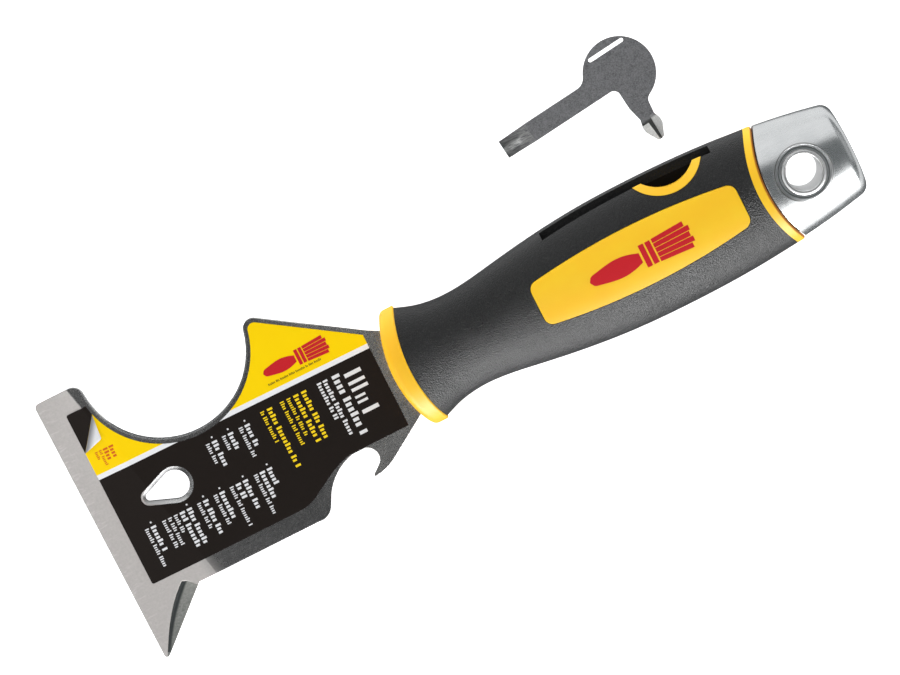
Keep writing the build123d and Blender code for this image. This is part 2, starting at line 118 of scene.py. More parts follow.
def area_light(name, place, facing, size, radiance, in_gloss, in_matte):
    """Rectangular light of a given face brightness. The camera doesn't see it."""
    data = bpy.data.lights.new(name, "AREA")
    data.shape = "RECTANGLE"
    data.size, data.size_y = size
    data.energy = radiance * math.pi * size[0] * size[1]
    light = bpy.data.objects.new(name, data)
    light.location = place
    light.rotation_euler = (-Vector(facing)).to_track_quat("Z", "Y").to_euler()
    light.visible_camera = False
    light.visible_glossy = in_gloss
    light.visible_diffuse = in_matte
    link(light)


def make_lights():
    for name, direction, distance, size, radiance, in_gloss, in_matte in SOFTBOXES:
        along = Vector(direction).normalized()
        place = TOOL_MIDDLE + along * distance
        area_light(name, place, -along, size, radiance, in_gloss, in_matte)
    for name, low, high, radiance in FLOOR_CARDS:
        size = ((high[0] - low[0]) * MM, (high[1] - low[1]) * MM)
        middle = ((high[0] + low[0]) / 2 * MM, (high[1] + low[1]) / 2 * MM)
        area_light(name, (*middle, FLOOR_Z + CARD_HEIGHT), (0, 0, 1), size, radiance, True, False)


def make_world():
    world = bpy.data.worlds.new("studio")
    world.use_nodes = True
    background = world.node_tree.nodes["Background"]
    background.inputs["Color"].default_value = WORLD_COLOUR
    background.inputs["Strength"].default_value = WORLD_STRENGTH
    bpy.context.scene.world = world


def make_floor():
    """Round studio floor whose rim curves up all round, so every side view ends on it."""
    rings = [(radius, 0) for radius in FLOOR_FLAT_RADII]
    for step in range(1, FLOOR_RISE_STEPS + 1):
        angle = math.radians(90 * step / FLOOR_RISE_STEPS)
        radius = FLOOR_FLAT_RADII[-1] + FLOOR_RISE_RADIUS * math.sin(angle)
        rings.append((radius, FLOOR_RISE_RADIUS * (1 - math.cos(angle))))
    points = []
    for radius, height in rings:
        for k in range(FLOOR_SIDES):
            turn = 2 * math.pi * k / FLOOR_SIDES
            x = BOX_MIDDLE.x + radius * math.cos(turn)
            y = BOX_MIDDLE.y + radius * math.sin(turn)
            points.append((x, y, FLOOR_Z + height))
    faces = []
    for start in range(0, len(points) - FLOOR_SIDES, FLOOR_SIDES):
        for k in range(FLOOR_SIDES):
            a, b = start + k, start + (k + 1) % FLOOR_SIDES
            faces.append((a, a + FLOOR_SIDES, b + FLOOR_SIDES, b))
    faces.append(tuple(range(FLOOR_SIDES)))
    mesh = bpy.data.meshes.new("floor")
    mesh.from_pydata(points, [], faces)
    smooth(mesh)
    mesh.materials.append(floor_paper())
    floor = bpy.data.objects.new("floor", mesh)
    link(floor)
    floor.visible_glossy = False


def smooth(mesh):
    mesh.polygons.foreach_set("use_smooth", [True] * len(mesh.polygons))


# ---------------------------------------------------------------- node helpers

class Shader:
    """Procedural material: a Principled surface and short calls for the nodes that feed it."""

    def __init__(self, name):
        self.material = bpy.data.materials.new(name)
        self.material.use_nodes = True
        self.tree = self.material.node_tree
        self.tree.nodes.clear()
        output = self.tree.nodes.new("ShaderNodeOutputMaterial")
        self.surface = self.tree.nodes.new("ShaderNodeBsdfPrincipled")
        self.tree.links.new(self.surface.outputs[0], output.inputs["Surface"])

    def feed(self, socket, value):
        if isinstance(value, bpy.types.NodeSocket):
            self.tree.links.new(value, socket)
        elif isinstance(value, (tuple, list)) and len(value) == 3 and socket.type == "RGBA":
            socket.default_value = (*value, 1)
        else:
            socket.default_value = value

    def set(self, name, value):
        self.feed(self.surface.inputs[name], value)

    def node(self, kind, **settings):
        node = self.tree.nodes.new(kind)
        for key, value in settings.items():
            setattr(node, key, value)
        return node

    def mm(self):
        """Position on the part in millimetres, in the tool frame."""
        node = self.node("ShaderNodeVectorMath", operation="SCALE")
        self.feed(node.inputs[0], self.node("ShaderNodeTexCoord").outputs["Object"])
        node.inputs["Scale"].default_value = 1 / MM
        return node.outputs[0]

    def true_normal(self):
        """Direction that the face looks."""
        return self.node("ShaderNodeNewGeometry").outputs["True Normal"]

    def arithmetic(self, operation, a, b):
        node = self.node("ShaderNodeVectorMath", operation=operation)
        self.feed(node.inputs[0], a)
        self.feed(node.inputs[1], b)
        return node

    def vector(self, operation, a, b):
        """Vector arithmetic that gives a vector."""
        return self.arithmetic(operation, a, b).outputs["Vector"]

    def measure(self, operation, a, b):
        """Vector arithmetic that gives a number."""
        return self.arithmetic(operation, a, b).outputs["Value"]

    def distance(self, place, centre=(0, 0)):
        """Distance in plan from a centre, by default the axis of the hang hole."""
        flat = self.vector("MULTIPLY", place, (1, 1, 0))
        return self.measure("DISTANCE", flat, (*centre, 0))

    def split(self, vector):
        node = self.node("ShaderNodeSeparateXYZ")
        self.feed(node.inputs[0], vector)
        return node.outputs[0], node.outputs[1], node.outputs[2]

    def math(self, operation, a, b=0.0, c=0.0):
        node = self.node("ShaderNodeMath", operation=operation)
        self.feed(node.inputs[0], a)
        self.feed(node.inputs[1], b)
        self.feed(node.inputs[2], c)
        return node.outputs[0]

    def product(self, *factors):
        result = factors[0]
        for factor in factors[1:]:
            result = self.math("MULTIPLY", result, factor)
        return result

    def line(self, x, y, a, b, c):
        """a * x + b * y + c"""
        return self.math("MULTIPLY_ADD", x, a, self.math("MULTIPLY_ADD", y, b, c))

    def above_line(self, x, y, start, end):
        """How far a place is above the line through two places, measured along Y."""
        slope = rise(start, end)
        return self.line(x, y, -slope, 1.0, start[0] * slope - start[1])

    def noise(self, vector, scale, detail=2, roughness=0.5, stretch=None):
        """Noise with `scale` cells per unit of the given vector."""
        if stretch:
            vector = self.vector("MULTIPLY", vector, stretch)
        node = self.node("ShaderNodeTexNoise")
        self.feed(node.inputs["Vector"], vector)
        node.inputs["Scale"].default_value = scale
        node.inputs["Detail"].default_value = detail
        node.inputs["Roughness"].default_value = roughness
        return node.outputs[0]

    def cells(self, vector, scale):
        node = self.node("ShaderNodeTexVoronoi")
        self.feed(node.inputs["Vector"], vector)
        node.inputs["Scale"].default_value = scale
        return node.outputs["Distance"]

    def ramp(self, value, start, end, to_start=0.0, to_end=1.0, smooth=False):
        """Number that goes from to_start to to_end while the value goes from start to end."""
        kind = "SMOOTHSTEP" if smooth else "LINEAR"
        node = self.node("ShaderNodeMapRange", interpolation_type=kind)
        self.feed(node.inputs["Value"], value)
        self.feed(node.inputs["From Min"], start)
        self.feed(node.inputs["From Max"], end)
        self.feed(node.inputs["To Min"], to_start)
        self.feed(node.inputs["To Max"], to_end)
        return node.outputs[0]

    def mix(self, factor, a, b):
        """Blend of two numbers."""
        return self.math("ADD", self.product(self.math("SUBTRACT", 1.0, factor), a),
                         self.product(factor, b))

    def mix_colour(self, factor, a, b, blend="MIX"):
        node = self.node("ShaderNodeMix", data_type="RGBA", blend_type=blend)
        self.feed(node.inputs[0], factor)
        self.feed(node.inputs[6], a)
        self.feed(node.inputs[7], b)
        return node.outputs[2]

    def ring_lines(self, colour, from_axis, radii):
        """Dark rings at the given distances from the axis of the hang hole."""
        for radius in radii:
            off_line = self.math("ABSOLUTE", self.math("SUBTRACT", from_axis, radius))
            mask = self.ramp(off_line, *RING_LINE_FADE, 0, RING_LINE_DEPTH)
            colour = self.mix_colour(mask, colour, RING_LINE_COLOUR)
        return colour

    def bump(self, height, strength, depth_mm, normal=None):
        node = self.node("ShaderNodeBump")
        node.inputs["Strength"].default_value = strength
        node.inputs["Distance"].default_value = depth_mm * MM
        self.feed(node.inputs["Height"], height)
        if normal is not None:
            self.feed(node.inputs["Normal"], normal)
        return node.outputs[0]

    def soft_edges(self, radius_mm):
        node = self.node("ShaderNodeBevel", samples=4)
        node.inputs["Radius"].default_value = radius_mm * MM
        return node.outputs[0]


RING_LINE_FADE = (0.17, 0.07)
RING_LINE_DEPTH = 0.7
RING_LINE_COLOUR = (0.14, 0.13, 0.12)


def rise(start, end):
    """Slope of the line through two places."""
    return (end[1] - start[1]) / (end[0] - start[0])


def rgb(red, green, blue):
    """Linear colour from display values of 0 to 255."""
    def linear(v):
        v /= 255
        return v / 12.92 if v <= 0.04045 else ((v + 0.055) / 1.055) ** 2.4
    return linear(red), linear(green), linear(blue)


# Materials: a pair of numbers below is where a mask is 0 and where it is full. Centres are (x, y).

# ---------------------------------------------------------------- blade

# Ground scraping edge: from EDGE_X to a crease that is at BEVEL_X where y is BEVEL_Y.
EDGE_X = -211.0
BEVEL_X = -199.8
BEVEL_Y = 29.65
BEVEL_SKEW = 0.215
BEVEL_DROP = 2.1
BEVEL_LEAN = (0.9991, 0.9985)
# Softness of the crease at each of its ends, and the share of it that reaches to each side.
CREASE_ENDS_Y = (-38, 34)
CREASE_FADE = (5.2, 0.12)
CREASE_REACH = (-0.9, 0.7)
# Wear towards the very edge, and everything in front of the flat back.
EDGE_WEAR = (4.5, 0.8)
ABOVE_BACK_Z = (-1.38, -1.3)

# Wheel-ground recess at the point, whose wall follows an arc through three places.
SCOOP_ARC = ((-209.75, -40.3), (-202.45, -29.95), (-196.75, -24.2))
SCOOP_MIDDLE_Y = -31.0
SCOOP_TOP_Y = (-22.4, -22.8)
SCOOP_END_X = (-193.0, -193.4)
# Band inside the recess's wall that gets painted shade.
SCOOP_WALL_SHADE = (1.2, 0.5)
SCOOP_LIP = (0.0, 0.15)
# Painted light towards the top of the recess and painted shade towards its lower end.
SCOOP_PAINTED_LIGHT_Y = (-30, -25)
SCOOP_PAINTED_SHADE_Y = (-33, -39)
SCOOP_WHEEL_SHIFT = (190, 52, 0)
TIP_Y = (-36.0, -36.5)

NOTCH_CENTRE = (-174.4, 33.85)
# Band along the roller notch's edge that gets a painted highlight, and how strong it is.
NOTCH_HIGHLIGHT_BAND = (23.75, 23.4)
NOTCH_HIGHLIGHT_STRENGTH = 0.55
FACES_FRONT = (0.25, 0.3)
CHAMFER_START = (0.95, 0.92)
CHAMFER_END = (0.30, 0.35)
NECK_X = (-158, -128)
FINE_MARKS_SHIFT = (7, 3, 0)


def circle_through(first, second, third):
    """Centre and radius of the circle through three places."""
    a, b, c = Vector(first), Vector(second), Vector(third)
    chords = Matrix(((b - a), (c - a)))
    middles = Vector(((b - a).dot((a + b) / 2), (c - a).dot((a + c) / 2)))
    centre = chords.inverted() @ middles
    return centre, (centre - a).length


def bevel_normal(y):
    """Direction that the ground face of the scraping edge looks, at a place along the edge."""
    width = BEVEL_X + BEVEL_SKEW * (BEVEL_Y - y) - EDGE_X
    return Vector((-BEVEL_DROP / width, 0, 1)).normalized()


def ground_mask(s, place, front):
    """Ground face of the scraping edge. The crease fades out towards the point."""
    x, y, _ = s.split(place)
    crease_x = s.math("MULTIPLY_ADD", y, -BEVEL_SKEW, BEVEL_X + BEVEL_SKEW * BEVEL_Y)
    fade = s.ramp(y, *CREASE_ENDS_Y, *CREASE_FADE)
    low, high = (s.product(fade, reach) for reach in CREASE_REACH)
    return s.product(s.ramp(s.math("SUBTRACT", crease_x, x), low, high, smooth=True), front)


def scoop_masks(s, place, normal, front):
    """Wheel-ground recess at the point, and the painted shade on its wall."""
    x, y, _ = s.split(place)
    _, _, normal_z = s.split(normal)
    faces_front = s.ramp(normal_z, *FACES_FRONT)
    off_bevel = s.ramp(s.measure("DOT_PRODUCT", normal, bevel_normal(SCOOP_MIDDLE_Y)), *BEVEL_LEAN)
    scoop = s.product(off_bevel, s.ramp(y, *SCOOP_TOP_Y), faces_front, s.ramp(x, *SCOOP_END_X))
    centre, radius = circle_through(*SCOOP_ARC)
    to_arc = s.math("SUBTRACT", radius, s.distance(place, centre))
    wall_shade = s.product(scoop, s.ramp(to_arc, *SCOOP_WALL_SHADE, smooth=True))
    tip = s.product(s.ramp(to_arc, *SCOOP_LIP), s.ramp(y, *TIP_Y), front, faces_front)
    return s.math("MAXIMUM", scoop, tip), wall_shade


def blade_steel():
    """Mill-finish sheet with a ground scraping edge and a wheel-ground point."""
    s = Shader("blade_steel")
    place = s.mm()
    normal = s.true_normal()
    x, y, z = s.split(place)
    _, normal_y, normal_z = s.split(normal)
    front = s.ramp(z, *ABOVE_BACK_Z)
    ground = ground_mask(s, place, front)
    scoop, wall_shade = scoop_masks(s, place, normal, front)
    chamfer = s.product(s.ramp(normal_z, *CHAMFER_START), s.ramp(normal_z, *CHAMFER_END),
                        s.math("SUBTRACT", 1.0, scoop))
    notch_highlight = s.ramp(s.distance(place, NOTCH_CENTRE), *NOTCH_HIGHLIGHT_BAND, smooth=True)

    mottle = s.noise(place, 0.35, 4, 0.6)
    grit = s.noise(place, 1.7, 3, 0.6)
    rolled = s.noise(place, 1.0, 3, 0.6, stretch=(0.05, 3.2, 1))
    marks = s.noise(place, 1.0, 3, 0.6, stretch=(0.28, 1.5, 1))
    fine_place = s.vector("ADD", s.vector("MULTIPLY", place, (0.6, 5.0, 1)), FINE_MARKS_SHIFT)
    fine_marks = s.noise(fine_place, 1.0, 2, 0.7)
    wheel_place = s.vector("ADD", place, SCOOP_WHEEL_SHIFT)
    wheel_marks = s.noise(wheel_place, 1.0, 3, 0.6, stretch=(1.6, 1.6, 0.1))

    mill = s.mix_colour(s.ramp(mottle, 0.3, 0.7), (0.18, 0.18, 0.185), (0.25, 0.25, 0.255))
    mill = s.mix_colour(s.ramp(rolled, 0.35, 0.75, 0, 0.45), mill, (0.34, 0.34, 0.345))
    mill = s.mix_colour(s.ramp(grit, 0.52, 0.75, 0, 0.18), mill, (0.42, 0.42, 0.425))
    # Painted light and shade on the mill finish: darker over the blade, about twice as bright
    # towards the neck.
    to_neck = s.ramp(x, *NECK_X, smooth=True)
    painted_shading = s.mix_colour(to_neck, (0.76, 0.745, 0.725), (2.0, 1.93, 1.83))
    mill = s.mix_colour(1.0, mill, painted_shading, "MULTIPLY")

    bright = s.mix_colour(s.ramp(grit, 0.25, 0.75), (0.44, 0.418, 0.405), (0.505, 0.478, 0.464))
    worn = s.ramp(s.math("SUBTRACT", x, EDGE_X), *EDGE_WEAR)
    streak = s.product(s.ramp(marks, 0.52, 0.75), s.math("MULTIPLY_ADD", worn, 0.35, 0.06))
    bright = s.mix_colour(streak, bright, (0.84, 0.80, 0.79))

    hollow = s.mix_colour(s.ramp(wheel_marks, 0.3, 0.7), (0.22, 0.22, 0.21), (0.38, 0.38, 0.36))
    # Painted light and shade across the recess floor.
    hollow = s.mix_colour(s.ramp(y, *SCOOP_PAINTED_LIGHT_Y, 0, 0.7), hollow, (0.46, 0.455, 0.43))
    hollow = s.mix_colour(s.ramp(grit, 0.3, 0.7, 0, 0.4), hollow, (0.17, 0.185, 0.17))
    hollow = s.mix_colour(s.ramp(y, *SCOOP_PAINTED_SHADE_Y, 0, 0.45), hollow, (0.11, 0.12, 0.11))
    # Painted shade on the recess's wall.
    hollow = s.mix_colour(wall_shade, hollow, (0.06, 0.065, 0.065))

    colour = s.mix_colour(ground, mill, bright)
    # Chamfers: paler steel, with painted light where they face +Y and painted shade where they face
    # -Y.
    chamfer_painted_light = s.mix_colour(s.ramp(normal_y, -0.2, 0.2), (0.34, 0.34, 0.34), (0.80, 0.80, 0.80))
    colour = s.mix_colour(chamfer, colour, chamfer_painted_light)
    # Painted highlight along the edge of the roller notch.
    colour = s.mix_colour(s.product(notch_highlight, NOTCH_HIGHLIGHT_STRENGTH), colour, (0.62, 0.62, 0.62))
    s.set("Base Color", s.mix_colour(scoop, colour, hollow))
    s.set("Metallic", 1.0)
    mill_rough = s.ramp(grit, 0.25, 0.75, 0.24, 0.29)
    ground_rough = s.ramp(fine_marks, 0.25, 0.75, 0.42, 0.52)
    s.set("Roughness", s.mix(ground, mill_rough, ground_rough))
    streaks = s.mix(ground, s.mix(0.08, rolled, grit), s.mix(0.5, marks, fine_marks))
    s.set("Normal", s.bump(streaks, 0.20, 0.04, s.soft_edges(0.16)))
    return s.material


# ---------------------------------------------------------------- printed film

# Foot of the white rule, from the scraping edge to the handle, and its width.
RULE_START = (-204.5, 10.26)
RULE_END = (-124.5, 9.46)
RULE_WIDTH = 1.35
PRINT_FADE = 0.06
# Fold of the turned-up corner. Film past it is bared.
PEEL_LOW = (-204.4, 18.3)
PEEL_HIGH = (-197.9, 26.8)
PEEL_FADE = 0.08
PEEL_SIDE_X = (-197.2, -197.3)
FLAP_SHADE_REACH = 3.6


def label_film():
    """Satin printed film: black field, white rule, yellow field, and the bared corner."""
    s = Shader("label_film")
    place = s.mm()
    x, y, _ = s.split(place)
    above = s.above_line(x, y, RULE_START, RULE_END)
    grain = s.noise(place, 9.0, 2, 0.6)
    cloud = s.noise(place, 0.12, 2, 0.5)
    black = s.mix_colour(grain, rgb(26, 21, 18), rgb(38, 32, 29))
    yellow = s.mix_colour(cloud, (1.0, 0.655, 0.0), (1.0, 0.69, 0.0))
    white = s.mix_colour(grain, rgb(232, 232, 234), rgb(244, 244, 246))
    colour = s.mix_colour(s.ramp(above, 0.0, PRINT_FADE), black, white)
    colour = s.mix_colour(s.ramp(above, RULE_WIDTH, RULE_WIDTH + PRINT_FADE), colour, yellow)
    past_fold = s.ramp(s.above_line(x, y, PEEL_LOW, PEEL_HIGH), 0.0, PEEL_FADE)
    bared = s.product(past_fold, s.ramp(x, *PEEL_SIDE_X))
    s.set("Base Color", s.mix_colour(bared, colour, black))
    s.set("Roughness", s.ramp(grain, 0.2, 0.8, 0.36, 0.46))
    s.set("Specular IOR Level", 0.06)
    s.set("Normal", s.bump(s.mix(0.6, cloud, grain), 0.12, 0.05, s.soft_edges(0.1)))
    return s.material


def ink(name, low, high):
    """Printed ink with a faint screen texture."""
    s = Shader(name)
    speckle = s.noise(s.mm(), 6.0, 2, 0.6)
    s.set("Base Color", s.mix_colour(speckle, low, high))
    s.set("Roughness", s.ramp(speckle, 0.2, 0.8, 0.38, 0.5))
    s.set("Specular IOR Level", 0.12)
    s.set("Normal", s.bump(speckle, 0.1, 0.02))
    return s.material


def flap_film():
    """Back of the turned-up label corner: pale, shaded towards the fold."""
    s = Shader("flap_film")
    place = s.mm()
    x, y, _ = s.split(place)
    slope = rise(PEEL_LOW, PEEL_HIGH)
    from_fold = s.line(x, y, slope, -1.0, PEEL_LOW[1] - PEEL_LOW[0] * slope)
    fibre = s.noise(place, 4.0, 3, 0.6)
    lit = s.ramp(from_fold, 0.0, FLAP_SHADE_REACH, smooth=True)
    painted_shading = s.mix_colour(lit, rgb(120, 120, 124), rgb(226, 226, 228))
    s.set("Base Color", s.mix_colour(s.ramp(fibre, 0.3, 0.7, 0, 0.12), painted_shading, rgb(200, 200, 204)))
    s.set("Roughness", s.ramp(fibre, 0.2, 0.8, 0.4, 0.5))
    s.set("Normal", s.bump(fibre, 0.1, 0.05))
    return s.material


# ---------------------------------------------------------------- handle

# End of the rear ring at the cap: a bow of this radius that bulges towards -X.
RING_END_X = -10.8
RING_END_R = 35.0
RING_JOINT_SHADE = (0.75, 0.35)


def moulded_yellow(name, deep, base, pale, end_shade=False):
    """Glossy moulded plastic with flow clouds, pin specks and a fine satin skin.

    With end_shade, the rim towards the cap gets painted shade, as in the joint beside it."""
    s = Shader(name)
    place = s.mm()
    flow = s.noise(place, 0.09, 3, 0.55, stretch=(0.6, 1, 1))
    skin = s.noise(place, 7.0, 2, 0.6)
    specks = s.cells(place, 1.1)
    colour = s.mix_colour(s.ramp(flow, 0.3, 0.7), deep, base)
    colour = s.mix_colour(s.ramp(flow, 0.55, 0.8, 0, 0.35), colour, pale)
    colour = s.mix_colour(s.ramp(specks, 0.05, 0.02, 0, 0.25), colour, rgb(190, 130, 20))
    if end_shade:
        # Painted shade along the ring's rim that meets the cap.
        from_centre = s.distance(place, (RING_END_X + RING_END_R, 0))
        to_end = s.math("SUBTRACT", from_centre, RING_END_R)
        joint_shade = s.ramp(to_end, *RING_JOINT_SHADE, smooth=True)
        colour = s.mix_colour(joint_shade, colour, rgb(176, 104, 8))
    s.set("Base Color", colour)
    s.set("Roughness", s.ramp(skin, 0.2, 0.8, 0.38, 0.48))
    s.set("Specular IOR Level", 0.45)
    s.set("Subsurface Weight", 0.08)
    s.set("Subsurface Radius", (1.0, 0.6, 0.1))
    s.set("Subsurface Scale", 1.2 * MM)
    s.set("Normal", s.bump(s.mix(0.7, flow, skin), 0.15, 0.06, s.soft_edges(0.22)))
    return s.material


# Bit slot in the grip.
SLOT_LOW_X = (-69.9, -69.8)
SLOT_HIGH_X = (-19.4, -19.5)
SLOT_MIDDLE_Z = 4.8
SLOT_LEVEL = (2.05, 1.8)
SLOT_FLOOR_Y = (8.0, 9.0)
SIDE_WALL_LEAN = (0.30, 0.24)
FLAT_WALL_LEAN = (0.985, 0.995)


def slot_mask(s, place):
    """Walls of the bit slot, which are told from the outside of the grip by how they lean."""
    x, y, z = s.split(place)
    _, _, normal_z = s.split(s.true_normal())
    lean = s.math("ABSOLUTE", normal_z)
    walls = s.math("ADD", s.ramp(lean, *SIDE_WALL_LEAN), s.ramp(lean, *FLAT_WALL_LEAN))
    level = s.math("ABSOLUTE", s.math("SUBTRACT", z, SLOT_MIDDLE_Z))
    length = s.product(s.ramp(x, *SLOT_LOW_X), s.ramp(x, *SLOT_HIGH_X))
    return s.product(length, s.ramp(y, *SLOT_FLOOR_Y), s.ramp(level, *SLOT_LEVEL), walls)


def soft_black():
    """Soft over-moulded rubber with a fine spark-eroded grain; the walls of the bit slot get
    near-black painted shade.
    """
    s = Shader("soft_black")
    place = s.mm()
    grain = s.noise(place, 3.0, 2, 0.7)
    pits = s.cells(place, 2.6)
    cloud = s.noise(place, 0.07, 3, 0.5)
    slot_shade = slot_mask(s, place)
    colour = s.mix_colour(s.ramp(cloud, 0.3, 0.7), rgb(9, 9, 10), rgb(15, 15, 16))
    colour = s.mix_colour(s.ramp(grain, 0.52, 0.68, 0, 0.55), colour, rgb(58, 58, 57))
    # Painted shade: the walls of the bit slot are made near black and rougher.
    s.set("Base Color", s.mix_colour(slot_shade, colour, rgb(5, 5, 5)))
    rough = s.math("ADD", s.ramp(grain, 0.3, 0.7, 0.28, 0.42), s.ramp(cloud, 0.3, 0.7, -0.02, 0.03))
    s.set("Roughness", s.math("ADD", rough, s.product(slot_shade, 0.4)))
    s.set("Specular IOR Level", 0.54)
    s.set("Sheen Weight", 0.03)
    s.set("Sheen Roughness", 0.45)
    s.set("Normal", s.bump(s.mix(0.35, grain, pits), 1.0, 0.34))
    return s.material


def core_black():
    """Hard black core, seen inside the bit slot."""
    s = Shader("core_black")
    place = s.mm()
    grain = s.noise(place, 2.5, 3, 0.6)
    flow = s.noise(place, 0.2, 2, 0.5)
    s.set("Base Color", s.mix_colour(flow, rgb(9, 7, 5), rgb(14, 11, 8)))
    s.set("Roughness", s.ramp(grain, 0.2, 0.8, 0.55, 0.7))
    s.set("Specular IOR Level", 0.1)
    s.set("Normal", s.bump(grain, 0.15, 0.06, s.soft_edges(0.15)))
    return s.material


# ---------------------------------------------------------------- cap, rivets and bit

DISH_RIM = (8.3, 7.9)
DISH_ROUGHNESS = 0.30
DISH_LINES = (6.75, 7.75)
EYELET_LINES = (5.2, 6.05)
EYELET_RING_TURN = 22  # radians of the ring pattern in each mm


def cap_steel():
    """Drawn and satin-polished steel."""
    s = Shader("cap_steel")
    place = s.mm()
    draw = s.noise(place, 1.0, 3, 0.6, stretch=(0.10, 1.5, 1.5))
    hair = s.noise(place, 1.0, 2, 0.7, stretch=(0.6, 9.0, 9.0))
    haze = s.noise(place, 0.16, 3, 0.5)
    radius = s.distance(place)
    colour = s.mix_colour(s.ramp(draw, 0.3, 0.7), (0.79, 0.80, 0.805), (0.84, 0.85, 0.855))
    colour = s.mix_colour(s.ramp(haze, 0.4, 0.75, 0, 0.3), colour, (0.66, 0.68, 0.69))
    s.set("Base Color", s.ring_lines(colour, radius, DISH_LINES))
    s.set("Metallic", 1.0)
    rough = s.math("ADD", s.ramp(hair, 0.25, 0.75, 0.21, 0.28), s.ramp(haze, 0.3, 0.7, 0, 0.05))
    s.set("Roughness", s.mix(s.ramp(radius, *DISH_RIM, smooth=True), rough, DISH_ROUGHNESS))
    s.set("Normal", s.bump(s.mix(0.4, draw, hair), 0.06, 0.03, s.soft_edges(0.3)))
    return s.material


def rolled_steel():
    """Bright rolled eyelet with turning rings."""
    s = Shader("rolled_steel")
    place = s.mm()
    _, _, z = s.split(place)
    radius = s.distance(place)
    turns = s.math("ADD", radius, s.product(z, 0.5))
    rings = s.math("SINE", s.product(turns, EYELET_RING_TURN))
    scuff = s.noise(place, 1.6, 3, 0.6)
    colour = s.mix_colour(s.ramp(scuff, 0.3, 0.7), (0.80, 0.80, 0.80), (0.92, 0.92, 0.92))
    s.set("Base Color", s.ring_lines(colour, radius, EYELET_LINES))
    s.set("Metallic", 1.0)
    s.set("Roughness", s.ramp(scuff, 0.25, 0.75, 0.38, 0.50))
    s.set("Normal", s.bump(s.mix(0.5, rings, scuff), 0.10, 0.03, s.soft_edges(0.12)))
    return s.material


def plain_steel():
    s = Shader("plain_steel")
    place = s.mm()
    scuff = s.noise(place, 1.2, 4, 0.6)
    fine = s.noise(place, 8.0, 2, 0.6)
    colour = s.mix_colour(s.ramp(scuff, 0.3, 0.7), (0.50, 0.50, 0.50), (0.64, 0.64, 0.64))
    s.set("Base Color", colour)
    s.set("Metallic", 1.0)
    s.set("Roughness", s.ramp(fine, 0.2, 0.8, 0.28, 0.42))
    s.set("Normal", s.bump(fine, 0.15, 0.03, s.soft_edges(0.15)))
    return s.material


def spacer_grey():
    s = Shader("spacer_grey")
    grain = s.noise(s.mm(), 3.0, 3, 0.6)
    s.set("Base Color", s.mix_colour(grain, (0.07, 0.07, 0.075), (0.12, 0.12, 0.125)))
    s.set("Roughness", s.ramp(grain, 0.2, 0.8, 0.5, 0.65))
    s.set("Normal", s.bump(grain, 0.15, 0.08))
    return s.material


def floor_paper():
    s = Shader("floor_paper")
    grain = s.noise(s.mm(), 0.8, 3)
    s.set("Base Color", s.mix_colour(grain, (0.90, 0.90, 0.90), (0.94, 0.94, 0.94)))
    s.set("Roughness", 0.9)
    s.set("Specular IOR Level", 0.1)
    s.set("Emission Color", (1, 1, 1))
    s.set("Emission Strength", FLOOR_GLOW)
    return s.material


# Driver bit: centre of its thumb disc, turn of its flat arm, and where along each arm its tip
# starts to be ground. The flat tip has a bright streak along its middle.
BIT_CENTRE = (-31.6, 45.1)
BIT_TILT = math.radians(6.6)
FLAT_TIP = (-28.1, -28.7)
CROSS_TIP = (-14.2, -14.9)
STREAK_ALONG = (-30.0, -32.5)
STREAK_ACROSS = (1.3, 0.3)
STREAK_MIDDLE = -0.6
RIB_LEAN = (0.993, 0.997)


